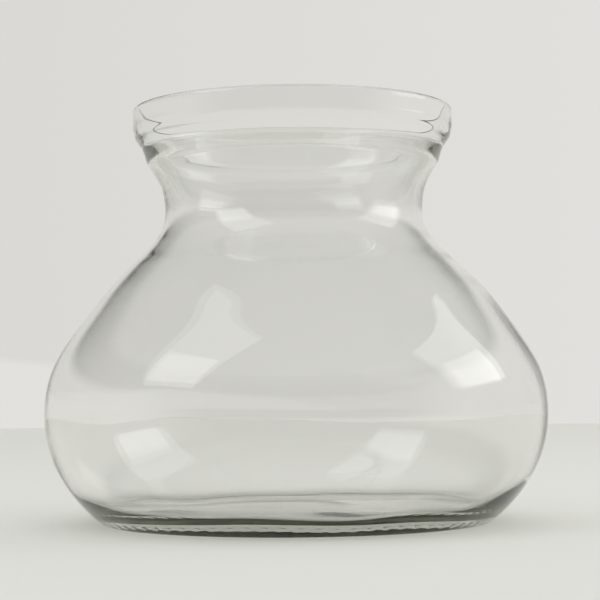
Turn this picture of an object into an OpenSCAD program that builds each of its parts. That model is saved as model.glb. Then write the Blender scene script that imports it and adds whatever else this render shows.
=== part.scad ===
// Squat clear glass jar with a round belly, a narrow throat, a flared collar and a banded rim.
// It is one piece of moulded glass: the outside comes from the mould, the inside from the air
// that blew it. The wall is thick at the rim, the collar and the base, and thin in the belly and
// the heel.
// Origin: centre of the ring that the jar stands on. Units: millimetres. +Z is up.

/* [Overall] */
// Height from the standing ring to the top of the rim
jar_h = 132; // [110:0.1:190]
// Diameter of the belly at its widest
belly_d = 160; // [135:0.5:200]
// Height of the widest part of the belly
belly_level = 34.5; // [28:0.5:45]

/* [Shoulder and throat] */
// Outer diameter of the throat
throat_d = 82.6; // [70:0.1:95]
// Depth of the throat below the top of the rim
throat_drop = 33.3; // [28:0.1:40]
// Where the shoulder turns from bulging to hollow, as a share of the rise to the throat
turn_rise = 0.53; // [0.45:0.01:0.65]
// The same turn, as a share of the narrowing to the throat
turn_inset = 0.4; // [0.3:0.01:0.5]
// Slope of the shoulder at that turn, in degrees from level
turn_slope = 53.5; // [45:0.5:62]

/* [Rim and collar] */
// Outer diameter of the rim band
rim_d = 102.6; // [96:0.1:110]
// Height of the upright part of the rim band
rim_band_h = 5; // [4:0.1:8]
// Height of the slightly tapered foot of the rim band
rim_taper_h = 3; // [1.5:0.1:4]
// How far that foot tapers inwards
rim_taper = 0.6; // [0.3:0.1:1.2]
// Height of the sloped ledge under the rim band
ledge_h = 3.6; // [2:0.1:5]
// Outer diameter at the top of the collar, where the ledge ends
collar_top_d = 96.4; // [90:0.1:98]
// Height of the collar
collar_h = 5; // [4:0.1:8]
// Outer diameter at the foot of the collar
collar_foot_d = 93.2; // [87:0.1:95]
// Slope of the flare where it meets the collar, in degrees from level
flare_slope = 51; // [40:1:65]
// How far the corners at both ends of the collar are eased, along each side
corner_reach = 1.2; // [0.5:0.1:1.5]
// How far the corner at the top of the ledge is eased, along each side
ledge_reach = 0.9; // [0.3:0.1:1.2]
// Rounding of the rim's outer top edge
lip_round = 1.3; // [0.8:0.1:2]
// Rounding of the rim's inner top edge
lip_inner_round = 0.8; // [0.4:0.1:1.5]

/* [Heel and base] */
// Outer diameter of the flat ring that the jar stands on
stand_d = 121.2; // [100:0.1:135]
// Width of that ring
stand_w = 5.9; // [2:0.1:7]
// Rounding between the standing ring and the heel
stand_r = 2.7; // [1:0.1:3.5]
// Slope of the heel where it leaves the ring, in degrees from level
heel_slope = 38; // [25:1:50]
// Height of the hollow under the base, at its centre
push_up = 1.6; // [0.8:0.1:3]

/* [Glass] */
// Wall at the rim
rim_wall = 2.2; // [1.8:0.1:4]
// Wall at the foot of the collar
collar_wall = 2.8; // [2.2:0.1:4]
// How sharply the inside turns at the foot of the collar, in degrees
crease = 6; // [0:1:12]
// How far the straight bore stops above the foot of the upright rim band
bore_stop = 0.5; // [0:0.1:4]
// Wall at the throat
throat_wall = 1.9; // [1.4:0.1:3]
// Wall at the belly
belly_wall = 1.5; // [1.3:0.1:3]
// Glass under the middle of the floor
base_wall = 2.5; // [2:0.1:6]
// Rise of the floor to its middle, as a share of the rise of the underside
crown_share = 0.8; // [0.3:0.05:1]
// How far the flat part of the floor stops short of the standing ring's outside
floor_inset = 5.5; // [4:0.1:12]

/* [Hidden] */

// Facets round the jar, and points along each curve
$fn = 128;
curve_steps = 20;
short_steps = 12;
arc_steps = 8;
corner_steps = 4;

// How long each curve of the section holds its first and its last direction
underside_pull = [0.2, 0.55];
heel_pull = [0.14, 0.5];
bulge_pull = [0.41, 0.37];
hollow_pull = [0.5, 0.28];
flare_pull = [0.32, 0.43];
rim_pull = [0.35, 0.35];
inner_heel_pull = [0.32, 0.4];
floor_pull = [0.37, 0.33];

// The most of the rim's wall that its outer and its inner rounding may take
lip_share = 0.6;
lip_inner_share = 0.37;

belly_r = belly_d / 2;
throat_r = throat_d / 2;
rim_r = rim_d / 2;
stand_r_out = stand_d / 2;
stand_r_in = stand_r_out - stand_w;
floor_r = stand_r_out - floor_inset;

// The two roundings of the rim share its wall and leave a narrow flat between them
lip_r = min(lip_round, lip_share * rim_wall);
lip_inner_r = min(lip_inner_round, lip_inner_share * rim_wall);

// Heights, from the standing ring up
throat_level = jar_h - throat_drop;
band_top = jar_h - lip_r;
band_foot = band_top - rim_band_h;
ledge_top = band_foot - rim_taper_h;
ledge_foot = ledge_top - ledge_h;
collar_foot = ledge_foot - collar_h;
turn_level = belly_level + turn_rise * (throat_level - belly_level);
floor_level = push_up + base_wall;
floor_crown = crown_share * push_up;

// Radii that follow from those sizes
turn_r = belly_r - turn_inset * (belly_r - throat_r);
mouth_r = rim_r - rim_wall;
collar_top_r = collar_top_d / 2;
collar_foot_r = collar_foot_d / 2;
bore_foot = band_foot + bore_stop;

// Direction as a unit vector in the plane of the outline, from an angle above level
function heading(angle) = [cos(angle), sin(angle)];

// Smooth curve from p to q. It leaves p along p_angle and reaches q along q_angle. The pair of
// pulls says how long it holds each direction, as shares of the distance from p to q.
function curve(p, p_angle, q, q_angle, pull, steps) =
    let (span = norm(q - p))
    let (a = p + heading(p_angle) * pull[0] * span)
    let (b = q - heading(q_angle) * pull[1] * span)
    [for (i = [0:steps])
        let (t = i / steps, u = 1 - t)
        pow(u, 3) * p + 3 * u * u * t * a + 3 * u * t * t * b + pow(t, 3) * q];

// Round stretch about a centre, from one angle to another
function arc(centre, radius, start, end, steps) =
    [for (i = [0:steps]) centre + heading(start + (end - start) * i / steps) * radius];

// All but the last point of a stretch, so that the next stretch starts where it ends
function open_end(points) = [for (i = [0:len(points) - 2]) points[i]];

// The same stretch the other way round, less the point where it now starts
function downward(points) = [for (i = [len(points) - 2:-1:0]) points[i]];

// A corner eased into a short curve that starts and ends at that reach from it
function soften(before, corner, after, reach) =
    let (start = corner + (before - corner) / norm(before - corner) * reach)
    let (end = corner + (after - corner) / norm(after - corner) * reach)
    [for (i = [0:corner_steps])
        let (t = i / corner_steps, u = 1 - t)
        u * u * start + 2 * u * t * corner + t * t * end];

// The direction of travel of a list of points at point i
function travel(points, i) =
    let (ahead = points[min(i + 1, len(points) - 1)] - points[max(i - 1, 0)])
    ahead / norm(ahead);

// A list of points moved inwards, to the left of its travel, by a wall that changes evenly
function inset(points, first_wall, last_wall) =
    [for (i = [0:len(points) - 1])
        let (step = travel(points, i))
        let (wall = first_wall + (last_wall - first_wall) * i / (len(points) - 1))
        points[i] + [-step[1], step[0]] * wall];

// The underside: a shallow dome inside the flat standing ring
underside = curve([0, push_up], 0, [stand_r_in, 0], 0, underside_pull, curve_steps);

// The rounded edge between the standing ring and the heel
stand_edge = arc([stand_r_out, stand_r], stand_r, -90, heel_slope - 90, arc_steps);

// The heel, up to the widest part of the belly
heel_start = stand_edge[arc_steps];
heel = curve(heel_start, heel_slope, [belly_r, belly_level], 90, heel_pull, curve_steps);

// The bulging half of the shoulder, and the hollow half that runs up to the throat
turn = [turn_r, turn_level];
throat = [throat_r, throat_level];
bulge = curve([belly_r, belly_level], 90, turn, 180 - turn_slope, bulge_pull, curve_steps);
hollow = curve(turn, 180 - turn_slope, throat, 90, hollow_pull, curve_steps);
shoulder = concat(open_end(bulge), hollow);

// The flare between the throat and the collar
flare = curve(throat, 90, [collar_foot_r, collar_foot], flare_slope, flare_pull, short_steps);

// The collar, the ledge and the tapered foot of the rim band, with softened corners
flare_end = flare[short_steps];
collar_top = [collar_top_r, ledge_foot];
ledge_edge = [rim_r - rim_taper, ledge_top];
band_edge = [rim_r, band_foot];
below_collar = flare_end - heading(flare_slope) * corner_reach;
band_side = concat(
    soften(below_collar, flare_end, collar_top, corner_reach),
    soften(flare_end, collar_top, ledge_edge, corner_reach),
    soften(collar_top, ledge_edge, band_edge, ledge_reach),
    [band_edge]
);

// The rounded top of the rim, from its outside to its inside
lip_out = arc([rim_r - lip_r, band_top], lip_r, 0, 90, arc_steps);
lip_in = arc([mouth_r + lip_inner_r, jar_h - lip_inner_r], lip_inner_r, 90, 180, arc_steps);

// The inside, from the mouth down: a straight bore behind the rim band, a curve that draws in
// to a faint crease behind the foot of the collar, and then the flare, throat and shoulder
inner_flare = inset(flare, throat_wall, collar_wall);
inner_shoulder = inset(shoulder, belly_wall, throat_wall);
inner_belly = inner_shoulder[0];
crease_point = inner_flare[short_steps];
crease_angle = flare_slope - 180 + crease;
inner_rim = curve([mouth_r, bore_foot], -90, crease_point, crease_angle, rim_pull, short_steps);
inner_wall = concat(downward(inner_flare), open_end(downward(inner_shoulder)));

// The inner heel, and the floor that rises a little to its middle
floor_edge = [floor_r, floor_level - floor_crown];
inner_heel = curve(inner_belly, -90, floor_edge, -180, inner_heel_pull, curve_steps);
floor_rise = curve(floor_edge, 180, [0, floor_level], 180, floor_pull, short_steps);

// The closed section: underside, outside, rim, inside and floor
section = concat(
    underside,
    open_end(stand_edge),
    open_end(heel),
    open_end(shoulder),
    open_end(flare),
    band_side,
    lip_out,
    lip_in,
    inner_rim,
    inner_wall,
    open_end(inner_heel),
    floor_rise
);

// The jar: the section, turned about the vertical axis
module jar() {
    color([0.86, 0.89, 0.86, 0.35])
        rotate_extrude()
            polygon(section);
}

jar();
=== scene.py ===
"""A squat clear glass jar with a banded rim, on a pale table in soft studio light.

The jar is one moulded piece of glass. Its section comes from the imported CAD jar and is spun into
a smooth closed body with real wall thickness, so the glass bends light as the real wall does.
"""

import math

import bmesh
import bpy
from mathutils import Matrix, Vector, noise


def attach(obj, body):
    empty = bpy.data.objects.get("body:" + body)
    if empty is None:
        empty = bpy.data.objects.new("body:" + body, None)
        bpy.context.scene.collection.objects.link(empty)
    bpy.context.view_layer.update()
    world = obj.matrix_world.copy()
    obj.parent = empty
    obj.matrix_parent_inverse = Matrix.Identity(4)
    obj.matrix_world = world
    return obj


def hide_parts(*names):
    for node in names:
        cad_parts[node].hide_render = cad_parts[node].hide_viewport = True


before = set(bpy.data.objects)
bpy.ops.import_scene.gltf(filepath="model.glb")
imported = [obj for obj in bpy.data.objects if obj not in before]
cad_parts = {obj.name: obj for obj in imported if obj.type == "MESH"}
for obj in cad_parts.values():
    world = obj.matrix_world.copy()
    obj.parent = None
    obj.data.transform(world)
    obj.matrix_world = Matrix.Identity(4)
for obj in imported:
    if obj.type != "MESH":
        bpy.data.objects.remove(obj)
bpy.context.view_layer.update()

MM = 0.001

# Points closer than this are one point, and a cut passes through a point that is this close to it
MERGE_DISTANCE = 0.001 * MM
CUT_TOLERANCE = 0.0001 * MM


# ---------------------------------------------------------------- small helpers


def linear(hex_colour):
    """An sRGB hex colour as linear red, green, blue and alpha 1."""
    channels = [int(hex_colour[i : i + 2], 16) / 255 for i in (1, 3, 5)]
    return [c / 12.92 if c <= 0.04045 else ((c + 0.055) / 1.055) ** 2.4 for c in channels] + [1.0]


def new_material(name):
    """An empty node material, with its tree and its output node."""
    material = bpy.data.materials.new(name)
    material.use_nodes = True
    tree = material.node_tree
    tree.nodes.clear()
    return material, tree, tree.nodes.new("ShaderNodeOutputMaterial")


def add_node(tree, kind, settings=None, inputs=None):
    """A node of that kind. An input is a value, or another node's output to link it to."""
    node = tree.nodes.new(kind)
    for key, value in (settings or {}).items():
        setattr(node, key, value)
    for key, value in (inputs or {}).items():
        if isinstance(value, bpy.types.NodeSocket):
            tree.links.new(value, node.inputs[key])
        else:
            node.inputs[key].default_value = value
    return node


def new_piece(name, mesh_maker, material):
    """An object at the origin whose mesh mesh_maker fills, with that material, smooth shaded."""
    mesh = bpy.data.meshes.new(name)
    shape = bmesh.new()
    mesh_maker(shape)
    shape.to_mesh(mesh)
    shape.free()
    mesh.materials.append(material)
    piece = bpy.data.objects.new(name, mesh)
    bpy.context.scene.collection.objects.link(piece)
    for face in mesh.polygons:
        face.use_smooth = True
    return piece


# ---------------------------------------------------------------- camera

# The camera stands just above the table, a touch off level, and sees as far as its sight in metres
CAMERA_DISTANCE = 561.6 * MM
CAMERA_HEIGHT = 44.3 * MM
CAMERA_SIGHT = 20.0
CAMERA_LENS_MM = 105.0
CAMERA_SENSOR_MM = 36.0
CAMERA_PITCH = math.radians(2.69)
CAMERA_YAW = math.radians(-0.155)
CAMERA_ROLL = math.radians(-0.5)


def make_camera():
    """A long lens just above the table, tilted up a little, so the rim is seen from below."""
    data = bpy.data.cameras.new("camera")
    data.lens = CAMERA_LENS_MM
    data.sensor_width = CAMERA_SENSOR_MM
    data.clip_end = CAMERA_SIGHT
    camera = bpy.data.objects.new("camera", data)
    bpy.context.scene.collection.objects.link(camera)
    place = Matrix.Translation((0, -CAMERA_DISTANCE, CAMERA_HEIGHT))
    aim = Matrix.Rotation(CAMERA_YAW, 4, "Z") @ Matrix.Rotation(math.pi / 2 + CAMERA_PITCH, 4, "X")
    camera.matrix_world = place @ aim @ Matrix.Rotation(CAMERA_ROLL, 4, "Z")
    bpy.context.scene.camera = camera


# ---------------------------------------------------------------- materials


def glass_material():
    """Soda-lime container glass, blown and fire polished: clear, with a mirror-smooth surface, and
    green-grey where the light's path through it is long, as in the thick base. Lamps shine almost
    straight through it, so its shadow on the table is faint."""
    material, tree, output = new_material("soda_lime_glass_fire_polished")
    glass = add_node(
        tree,
        "ShaderNodeBsdfPrincipled",
        inputs={
            "Base Color": (1.0, 1.0, 1.0, 1.0),
            "Roughness": 0.0,
            "IOR": 1.52,
            "Transmission Weight": 1.0,
        },
    )
    lamp_light = add_node(tree, "ShaderNodeBsdfTransparent", inputs={"Color": linear("#F8F9F7")})
    path = add_node(tree, "ShaderNodeLightPath")
    surface = add_node(
        tree,
        "ShaderNodeMixShader",
        inputs={0: path.outputs["Is Shadow Ray"], 1: glass.outputs[0], 2: lamp_light.outputs[0]},
    )
    tint = add_node(
        tree,
        "ShaderNodeVolumeAbsorption",
        inputs={"Color": linear("#C0C2B2"), "Density": 38.0},
    )
    tree.links.new(surface.outputs[0], output.inputs["Surface"])
    tree.links.new(tint.outputs[0], output.inputs["Volume"])
    return material


def paper_material(name, colour):
    """Matt white card: no gloss, and the same all over."""
    material, tree, output = new_material(name)
    card = add_node(
        tree,
        "ShaderNodeBsdfPrincipled",
        inputs={"Base Color": linear(colour), "Roughness": 0.9, "Specular IOR Level": 0.2},
    )
    tree.links.new(card.outputs[0], output.inputs["Surface"])
    return material


# ---------------------------------------------------------------- the jar

# Steps of the spin round the jar
SPIN_STEPS = 216

# The shallow waves of the glass. They fade in above the standing ring on the outside, and fade out
# below the lip on the inside.
WAVE_DEPTH_OUT = 0.05 * MM
WAVE_DEPTH_IN = 0.16 * MM
WAVE_LENGTH = 34 * MM
WAVE_FREE_HEIGHT = 6 * MM
WAVE_FULL_HEIGHT = 16 * MM
WAVE_FADE_HEIGHT = 128 * MM
WAVE_END_HEIGHT = 130.5 * MM
INNER_WAVE_OFFSET = Vector((3.1, 7.7, 1.3))

# Short waves inside the rim, at their deepest at this height
RIM_WAVE_DEPTH = 0.12 * MM
RIM_WAVE_LENGTH = 9 * MM
RIM_WAVE_HEIGHT = 124 * MM
RIM_WAVE_REACH = 5 * MM

# Waves of the floor. Below the zone's top the inner surface is told from the outer by facing up.
FLOOR_ZONE = 12 * MM
FLOOR_WAVE_DEPTH = 0.45 * MM
FLOOR_WAVE_LENGTH = 26 * MM

# Ripples round the throat, left by the drawing of the hot glass
RIPPLE_DEPTH = 0.05 * MM
RIPPLE_PITCH = 7.5 * MM
RIPPLE_HEIGHT = 86 * MM
RIPPLE_REACH = 9 * MM

# How far the rim and the shoulder stray sideways
RIM_LEAN = -0.5 * MM
RIM_LEAN_FOOT = 78 * MM
RIM_LEAN_TOP = 122 * MM
SHOULDER_LEAN = 0.35 * MM
SHOULDER_LEAN_HEIGHT = 68 * MM
SHOULDER_LEAN_REACH = 14 * MM


def smooth_share(value, low, high):
    """0 below low, 1 above high and an even curve between them."""
    share = min(1.0, max(0.0, (value - low) / (high - low)))
    return share * share * (3 - 2 * share)


def bump(value, middle, reach):
    """1 at the middle, fading to nothing about two reaches away."""
    return math.exp(-(((value - middle) / reach) ** 2))


def lean(height):
    """How far the jar's axis strays sideways at that height: no blown jar is quite straight."""
    rim = RIM_LEAN * smooth_share(height, RIM_LEAN_FOOT, RIM_LEAN_TOP)
    return rim + SHOULDER_LEAN * bump(height, SHOULDER_LEAN_HEIGHT, SHOULDER_LEAN_REACH)


def is_inside(corner):
    """Whether that corner is on the inner surface, which faces up at the floor and inwards above."""
    if corner.co.z < FLOOR_ZONE:
        return corner.normal.z > 0
    return corner.normal.dot(Vector((corner.co.x, corner.co.y, 0))) < 0


def surface_move(corner):
    """How far that corner moves along its normal. Outside, the waves only take glass away. Inside,
    where only air shaped it, they are deeper, most of all at the floor, and there are a few
    ripples round the throat."""
    height = corner.co.z
    if not is_inside(corner):
        wave_share = smooth_share(height, WAVE_FREE_HEIGHT, WAVE_FULL_HEIGHT)
        return (noise.noise(corner.co / WAVE_LENGTH) - 1) / 2 * WAVE_DEPTH_OUT * wave_share
    wave = noise.noise(corner.co / WAVE_LENGTH + INNER_WAVE_OFFSET) * WAVE_DEPTH_IN
    ripple = math.sin(2 * math.pi * height / RIPPLE_PITCH) * RIPPLE_DEPTH
    ripple *= bump(height, RIPPLE_HEIGHT, RIPPLE_REACH)
    floor_wave = noise.noise(corner.co / FLOOR_WAVE_LENGTH) * FLOOR_WAVE_DEPTH
    floor_wave *= 1 - smooth_share(height, WAVE_FREE_HEIGHT, WAVE_FULL_HEIGHT)
    rim_wave = noise.noise(corner.co / RIM_WAVE_LENGTH) * RIM_WAVE_DEPTH
    rim_wave *= bump(height, RIM_WAVE_HEIGHT, RIM_WAVE_REACH)
    fade = 1 - smooth_share(height, WAVE_FADE_HEIGHT, WAVE_END_HEIGHT)
    return (wave + ripple + floor_wave + rim_wave) * fade


def uneven(shape):
    """Gives the true body of revolution the shallow waves and the slight lean of blown glass."""
    shape.normal_update()
    moves = []
    for corner in shape.verts:
        sideways = Vector((lean(corner.co.z), 0, 0))
        moves.append((corner, corner.normal * surface_move(corner) + sideways))
    for corner, move in moves:
        corner.co += move


# The narrow band of the standing ring that carries the nibs. Every third facet has one, and a
# margin leaves a gap between neighbours.
NIB_BAND_IN = 57.9 * MM
NIB_BAND_OUT = 59.3 * MM
NIB_HEIGHT = 0.15 * MM
NIB_EVERY = 3
NIB_MARGIN = 0.3 * MM
FLAT_TOLERANCE = 0.01 * MM


def split_ring(shape):
    """Cuts the flat of the standing ring at both edges of the narrow band that carries the nibs."""
    for radius in (NIB_BAND_OUT, NIB_BAND_IN):
        flat = [
            edge
            for edge in shape.edges
            if all(abs(v.co.z) < FLAT_TOLERANCE for v in edge.verts)
            and min(v.co.x for v in edge.verts) < radius < max(v.co.x for v in edge.verts)
        ]
        for edge in flat:
            near = min(edge.verts, key=lambda v: v.co.x)
            far = edge.other_vert(near)
            share = (radius - near.co.x) / (far.co.x - near.co.x)
            bmesh.utils.edge_split(edge, near, share)


def stipple(shape):
    """Lifts the standing ring a little and leaves a row of small nibs that reach the table."""
    flat = [v for v in shape.verts if v.co.z < NIB_HEIGHT]
    for corner in flat:
        corner.co.z = NIB_HEIGHT
    band = []
    for face in shape.faces:
        centre = face.calc_center_median()
        radius = math.hypot(centre.x, centre.y)
        if centre.z < NIB_HEIGHT + FLAT_TOLERANCE and NIB_BAND_IN < radius < NIB_BAND_OUT:
            band.append((math.atan2(centre.y, centre.x), face))
    band.sort(key=lambda item: item[0])
    chosen = [face for angle, face in band[::NIB_EVERY]]
    bmesh.ops.inset_individual(shape, faces=chosen, thickness=NIB_MARGIN, depth=0.0)
    for face in chosen:
        for corner in face.verts:
            corner.co.z = 0.0


def jar_section(shape):
    """Fills the bmesh with half of the CAD jar's section: the closed outline at y = 0, x >= 0."""
    shape.from_mesh(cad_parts["jar"].data)
    bmesh.ops.remove_doubles(shape, verts=shape.verts, dist=MERGE_DISTANCE)
    everything = list(shape.verts) + list(shape.edges) + list(shape.faces)
    cut = bmesh.ops.bisect_plane(
        shape, geom=everything, dist=CUT_TOLERANCE, plane_co=(0, 0, 0), plane_no=(0, 1, 0)
    )
    outline = set(cut["geom_cut"])
    bmesh.ops.delete(shape, geom=list(shape.faces), context="FACES_ONLY")
    loose = [e for e in shape.edges if e not in outline]
    bmesh.ops.delete(shape, geom=loose, context="EDGES")
    lone = [v for v in shape.verts if not v.link_edges]
    bmesh.ops.delete(shape, geom=lone, context="VERTS")
    bmesh.ops.bisect_plane(
        shape,
        geom=list(shape.verts) + list(shape.edges),
        dist=CUT_TOLERANCE,
        plane_co=(0, 0, 0),
        plane_no=(1, 0, 0),
        clear_inner=True,
    )


def jar_body(shape):
    """Spins the section into a closed glass body, with its nibs and its waves."""
    jar_section(shape)
    split_ring(shape)
    bmesh.ops.spin(
        shape,
        geom=list(shape.verts) + list(shape.edges),
        cent=(0, 0, 0),
        axis=(0, 0, 1),
        angle=2 * math.pi,
        steps=SPIN_STEPS,
        use_merge=True,
        use_normal_flip=False,
    )
    bmesh.ops.remove_doubles(shape, verts=shape.verts, dist=MERGE_DISTANCE)
    bmesh.ops.recalc_face_normals(shape, faces=shape.faces)
    stipple(shape)
    uneven(shape)


def make_jar():
    """The whole jar, as one piece of glass."""
    jar = new_piece("glass_jar", jar_body, glass_material())
    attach(jar, "root")
    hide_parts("jar")


# ---------------------------------------------------------------- floor, backdrop and lights


# Sizes of the studio are in metres
TABLE_HALF_WIDTH = 1.3
TABLE_SEGMENTS = 8
TABLE_GAP = 0.02 * MM

# The round screen, whose top slopes up from left to right and fades over its last stretch
SCREEN_RADIUS = 1.25
SCREEN_STEPS = 72
SCREEN_FOOT = -0.01
SCREEN_HEIGHT_LEFT = 0.44
SCREEN_HEIGHT_RIGHT = 0.78
SCREEN_TOP_TILT = (SCREEN_HEIGHT_RIGHT - SCREEN_HEIGHT_LEFT) / (2 * SCREEN_RADIUS)
SCREEN_TOP_MIDDLE = (SCREEN_HEIGHT_RIGHT + SCREEN_HEIGHT_LEFT) / 2
SCREEN_TOP_FADE = 0.12
SCREEN_TOP_SHARE = 0.35

# How far to each side the screen turns from its darker to its brighter tone
SCREEN_TONE_REACH = 0.3

# The top edge of the low bright panel: its height at the middle, its fall and its softness
PANEL_EDGE_HEIGHT = 0.035
PANEL_EDGE_FALL = 0.115
PANEL_EDGE_BLUR = 0.004

# The front of the screen as a mirror image: between these two depths it turns dim, to this share
FRONT_DIM_NEAR = -0.15
FRONT_DIM_FAR = -1.05
FRONT_DIM_SHARE = 0.03


def table_sheet(shape):
    """A large flat white card, a hair below the nibs so that the two don't share a plane."""
    bmesh.ops.create_grid(
        shape, x_segments=TABLE_SEGMENTS, y_segments=TABLE_SEGMENTS, size=TABLE_HALF_WIDTH
    )
    bmesh.ops.translate(shape, verts=shape.verts, vec=(0, 0, -TABLE_GAP))


def ring_screen(shape):
    """A round white screen about the jar, lower on the left than on the right."""
    foot = shape.verts.new((SCREEN_RADIUS, 0, SCREEN_FOOT))
    top = shape.verts.new((SCREEN_RADIUS, 0, SCREEN_HEIGHT_RIGHT))
    upright = shape.edges.new((foot, top))
    bmesh.ops.spin(
        shape,
        geom=[foot, top, upright],
        cent=(0, 0, 0),
        axis=(0, 0, 1),
        angle=2 * math.pi,
        steps=SCREEN_STEPS,
        use_merge=True,
    )
    for corner in shape.verts:
        if corner.co.z > 0:
            corner.co.z = SCREEN_TOP_MIDDLE + SCREEN_TOP_TILT * corner.co.x


def lit_screen_material():
    """White paper lit from behind: a little brighter on the right, brighter still in the low panel
    whose top edge falls from left to right, and fading towards the top of the screen. As a mirror
    image the part behind the camera is dim, which keeps the front of the jar from washing out."""
    material, tree, output = new_material("white_paper_back_lit")
    place = add_node(tree, "ShaderNodeTexCoord")
    sides = add_node(tree, "ShaderNodeSeparateXYZ", inputs={0: place.outputs["Object"]})
    across = add_node(
        tree,
        "ShaderNodeMapRange",
        inputs={
            "Value": sides.outputs["X"],
            "From Min": -SCREEN_TONE_REACH,
            "From Max": SCREEN_TONE_REACH,
        },
    )
    upper = add_node(
        tree,
        "ShaderNodeMix",
        {"data_type": "RGBA"},
        {0: across.outputs["Result"], 6: linear("#DAD9D5"), 7: linear("#E1E0DC")},
    )
    level = add_node(
        tree,
        "ShaderNodeMath",
        {"operation": "MULTIPLY_ADD"},
        {0: sides.outputs["X"], 1: PANEL_EDGE_FALL, 2: sides.outputs["Z"]},
    )
    above = add_node(
        tree,
        "ShaderNodeMapRange",
        inputs={
            "Value": level.outputs[0],
            "From Min": PANEL_EDGE_HEIGHT - PANEL_EDGE_BLUR,
            "From Max": PANEL_EDGE_HEIGHT + PANEL_EDGE_BLUR,
        },
    )
    tone = add_node(
        tree,
        "ShaderNodeMix",
        {"data_type": "RGBA"},
        {0: above.outputs["Result"], 6: linear("#E2E1DD"), 7: upper.outputs[2]},
    )
    below_top = add_node(
        tree,
        "ShaderNodeMath",
        {"operation": "MULTIPLY_ADD"},
        {0: sides.outputs["X"], 1: -SCREEN_TOP_TILT, 2: sides.outputs["Z"]},
    )
    fade = add_node(
        tree,
        "ShaderNodeMapRange",
        {"interpolation_type": "SMOOTHSTEP"},
        {
            "Value": below_top.outputs[0],
            "From Min": SCREEN_TOP_MIDDLE - SCREEN_TOP_FADE,
            "From Max": SCREEN_TOP_MIDDLE,
            "To Min": 1.0,
            "To Max": SCREEN_TOP_SHARE,
        },
    )
    front = add_node(
        tree,
        "ShaderNodeMapRange",
        {"interpolation_type": "SMOOTHSTEP"},
        {
            "Value": sides.outputs["Y"],
            "From Min": FRONT_DIM_FAR,
            "From Max": FRONT_DIM_NEAR,
            "To Min": FRONT_DIM_SHARE,
        },
    )
    path = add_node(tree, "ShaderNodeLightPath")
    mirrored = add_node(
        tree,
        "ShaderNodeMix",
        {"data_type": "FLOAT"},
        {0: path.outputs["Is Glossy Ray"], 2: 1.0, 3: front.outputs["Result"]},
    )
    strength = add_node(
        tree,
        "ShaderNodeMath",
        {"operation": "MULTIPLY"},
        {0: mirrored.outputs[0], 1: fade.outputs["Result"]},
    )
    glow = add_node(
        tree,
        "ShaderNodeEmission",
        inputs={"Color": tone.outputs[2], "Strength": strength.outputs[0]},
    )
    tree.links.new(glow.outputs[0], output.inputs["Surface"])
    return material


def make_stage():
    """A pale table and a pale screen all round it."""
    new_piece("table_card", table_sheet, paper_material("white_table_card", "#E4E4E0"))
    new_piece("ring_screen", ring_screen, lit_screen_material())


# Height of the point that the lights face
AIM_HEIGHT = 60 * MM


def area_light(name, direction, distance, size, radiance, seen=True):
    """A soft box that faces the jar from that direction, size metres wide and high. One that is
    not seen lights the table but doesn't show in the glass."""
    data = bpy.data.lights.new(name, "AREA")
    data.shape = "RECTANGLE"
    data.size, data.size_y = size
    data.energy = radiance * math.pi * size[0] * size[1]
    light = bpy.data.objects.new(name, data)
    bpy.context.scene.collection.objects.link(light)
    target = Vector((0, 0, AIM_HEIGHT))
    place = target + Vector(direction).normalized() * distance
    aim = (target - place).to_track_quat("-Z", "Y").to_matrix().to_4x4()
    light.matrix_world = Matrix.Translation(place) @ aim
    light.visible_glossy = seen
    light.visible_transmission = seen


# How steeply one looks up from the jar to the top of the dark wall and to the ceiling's edge
DARK_WALL_TOP = math.sin(math.radians(31))
CEILING_FOOT = math.sin(math.radians(37))


def make_world():
    """A dim room above the screen, with a paler ceiling."""
    world = bpy.data.worlds.new("studio")
    bpy.context.scene.world = world
    world.use_nodes = True
    tree = world.node_tree
    place = add_node(tree, "ShaderNodeTexCoord")
    rise = add_node(tree, "ShaderNodeSeparateXYZ", inputs={0: place.outputs["Generated"]})
    share = add_node(
        tree,
        "ShaderNodeMapRange",
        inputs={"Value": rise.outputs["Z"], "From Min": DARK_WALL_TOP, "From Max": CEILING_FOOT},
    )
    tone = add_node(
        tree,
        "ShaderNodeMix",
        {"data_type": "RGBA"},
        {0: share.outputs["Result"], 6: linear("#303030"), 7: linear("#A0A09C")},
    )
    tree.links.new(tone.outputs[2], tree.nodes["Background"].inputs["Color"])


def make_lights():
    """Two soft boxes that show in the glass, each with a brighter patch low down where its lamp
    is, and a broad overhead fill for the table."""
    area_light("soft_box_left", (-0.62, -0.36, 0.74), 1.10, (0.60, 0.88), 0.8)
    area_light("soft_box_left_lamp", (-0.74, -0.44, 0.56), 1.08, (0.48, 0.50), 1.0)
    area_light("soft_box_right", (0.82, 0.03, 0.50), 1.10, (0.72, 0.62), 0.9)
    area_light("soft_box_right_lamp", (0.86, 0.03, 0.38), 1.08, (0.52, 0.36), 1.0)
    area_light("overhead_fill", (0.0, 0.1, 1.0), 1.6, (2.4, 2.4), 1.07, seen=False)


def allow_long_light_paths():
    """Light that is trapped in the thick base turns many times before it leaves at the far side."""
    paths = bpy.context.scene.cycles
    paths.max_bounces = 32
    paths.glossy_bounces = 28
    paths.transmission_bounces = 28
    paths.transparent_max_bounces = 16


# ---------------------------------------------------------------- build

make_camera()
make_jar()
make_stage()
make_lights()
make_world()

bpy.context.scene.view_settings.view_transform = "Standard"
allow_long_light_paths()
